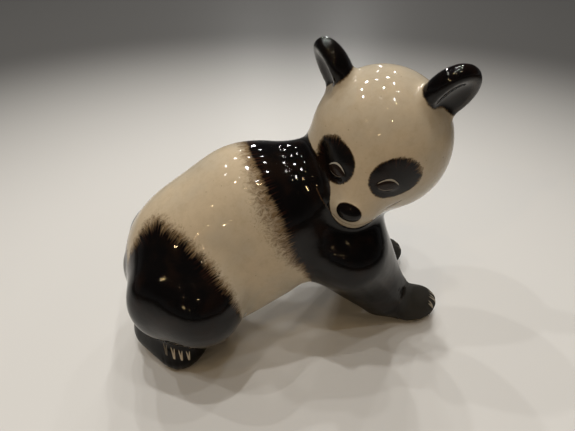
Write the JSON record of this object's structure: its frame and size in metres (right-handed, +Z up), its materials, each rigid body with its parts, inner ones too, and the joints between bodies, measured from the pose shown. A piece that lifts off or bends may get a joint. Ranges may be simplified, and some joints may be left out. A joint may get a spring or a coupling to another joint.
{
  "type": "panda figurine",
  "caption": "Glazed porcelain panda cub figurine, sitting with straight forelegs and looking back over its right shoulder.",
  "frame": {"origin": "middle of the figure's box, on the table it stands on", "axes": "+X the way the body points, +Y the panda's left side, +Z up"},
  "size_m": [0.111, 0.0646, 0.1011],
  "materials": {
    "glazed_porcelain": "clear glaze over ivory with black markings"
  },
  "bodies": {
    "root": {"panda": "glazed_porcelain"}
  },
  "joints": []
}
